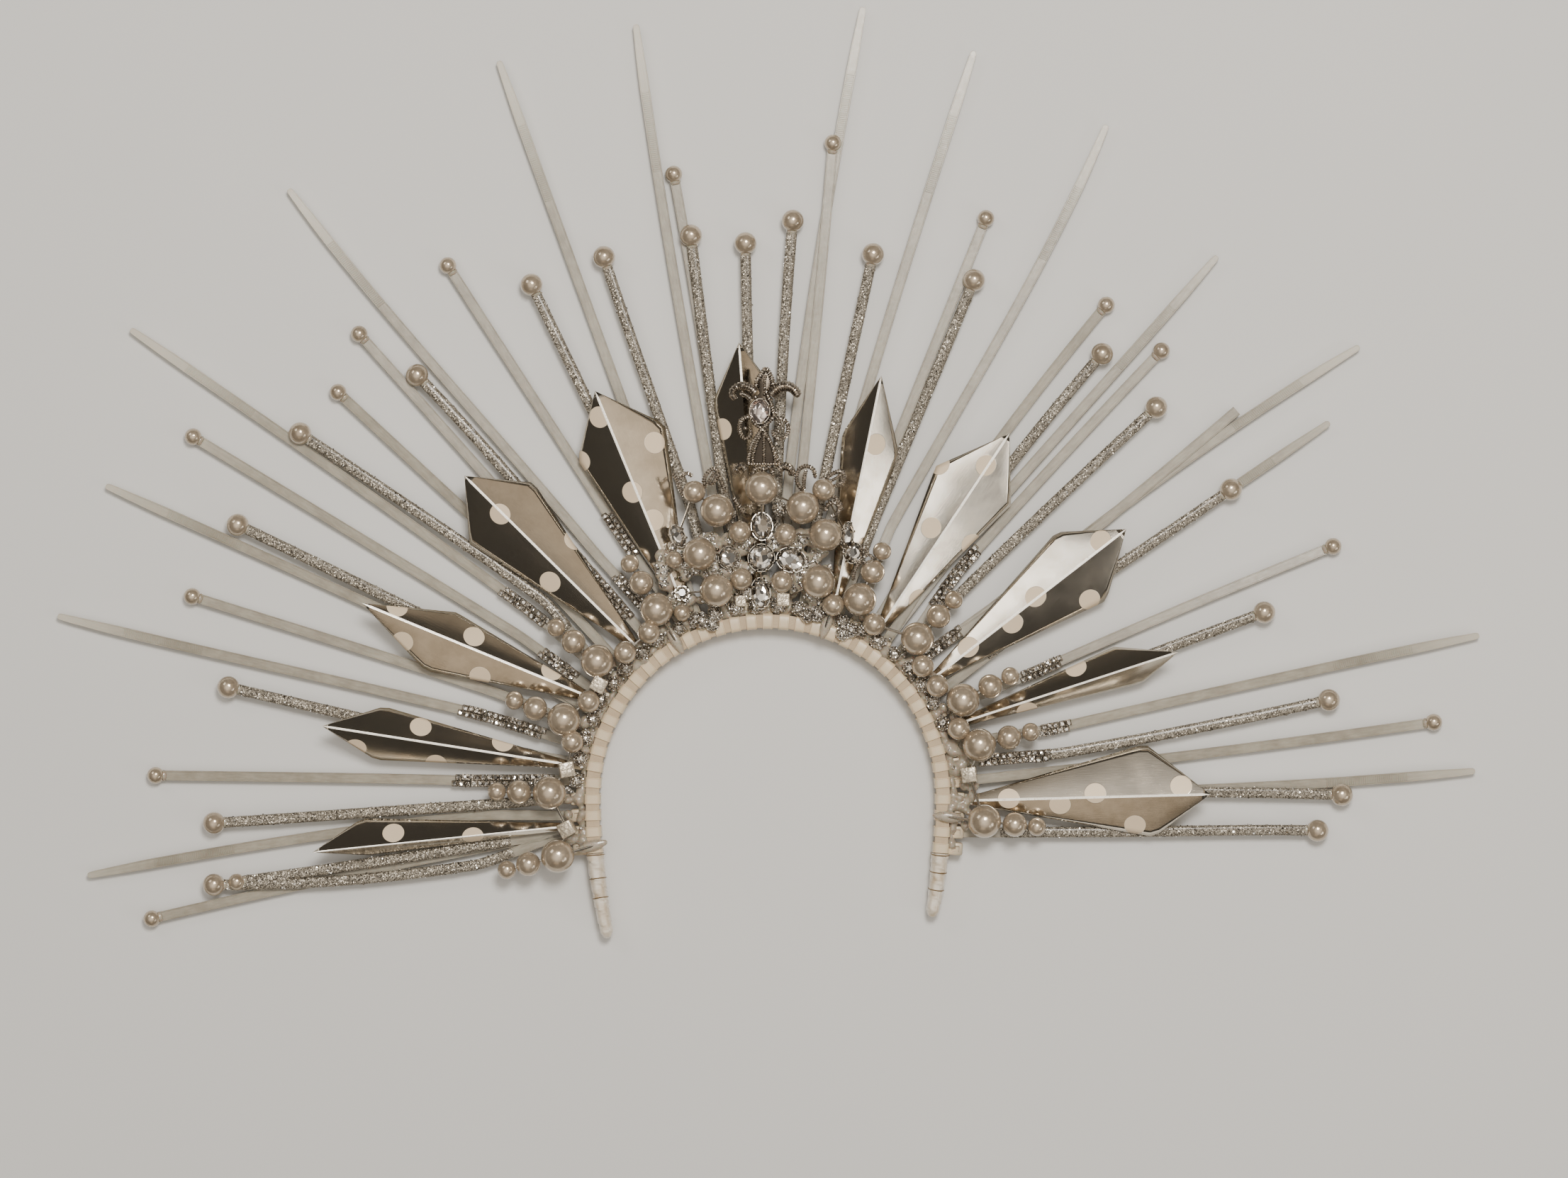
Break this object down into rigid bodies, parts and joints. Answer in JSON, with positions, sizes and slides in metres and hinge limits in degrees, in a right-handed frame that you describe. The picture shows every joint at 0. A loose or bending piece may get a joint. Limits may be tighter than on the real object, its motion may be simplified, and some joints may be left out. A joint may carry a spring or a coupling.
{
  "type": "halo crown",
  "caption": "Halo crown: a covered headband looped with cable ties that stand out as rays, with folded mirror card fins, wired pearls, cut stones and a cast ornament.",
  "frame": {"origin": "on the surface the crown lies on, under the middle of its box", "axes": "+X towards the right-hand side seen from the front, +Y towards the top of the crown, +Z towards its front; the crown lies on its back"},
  "size_m": [0.663, 0.4336, 0.0317],
  "materials": {
    "band_cover": "cream cover of a headband, matt",
    "tie_nylon": "natural nylon, milky and slightly see-through, ribbed on one face",
    "glitter_sleeve": "silver glitter set in clear lacquer",
    "pearl": "champagne pearl lacquer, soft gloss",
    "crystal": "clear foil-backed cut glass",
    "setting_silver": "bright silver settings and wire",
    "mirror_card": "silver mirror foil on card",
    "card_dots": "cream printed dots, satin",
    "old_silver": "antique silver casting, darkened in its hollows",
    "clear_film": "clear wrapping film and pale thread"
  },
  "bodies": {
    "root": {"headband": "band_cover", "tie_01": "tie_nylon", "tie_02": "tie_nylon", "tie_03": "tie_nylon", "tie_04": "tie_nylon", "tie_05": "tie_nylon", "tie_06": "tie_nylon", "tie_07": "tie_nylon", "tie_08": "tie_nylon", "tie_09": "tie_nylon", "tie_10": "tie_nylon", "tie_11": "tie_nylon", "tie_12": "tie_nylon", "tie_13": "tie_nylon", "tie_14": "tie_nylon", "tie_15": "tie_nylon", "tie_16": "tie_nylon", "tie_17": "tie_nylon", "tie_18": "tie_nylon", "tie_19": "tie_nylon", "tie_20": "tie_nylon", "tie_21": "tie_nylon", "tie_22": "tie_nylon", "tie_23": "tie_nylon", "tie_24": "tie_nylon", "tie_25": "tie_nylon", "tie_26": "tie_nylon", "tie_27": "tie_nylon", "tie_28": "tie_nylon", "tie_29": "tie_nylon", "tie_30": "tie_nylon", "tie_31": "tie_nylon", "tie_32": "tie_nylon", "tie_33": "tie_nylon", "tie_34": "tie_nylon", "tie_35": "tie_nylon", "tie_36": "tie_nylon", "tie_37": "tie_nylon", "tie_38": "tie_nylon", "tie_39": "tie_nylon", "tie_40": "tie_nylon", "tie_41": "tie_nylon", "fin_01": "mirror_card", "fin_02": "mirror_card", "fin_03": "mirror_card", "fin_04": "mirror_card", "fin_05": "mirror_card", "fin_06": "mirror_card", "fin_07": "mirror_card", "fin_08": "mirror_card", "fin_09": "mirror_card", "fin_10": "mirror_card", "fin_11": "mirror_card", "bead_garland_left": "pearl", "bead_garland_right": "pearl", "centre_cluster": "pearl", "fleur_ornament": "old_silver"}
  },
  "joints": []
}
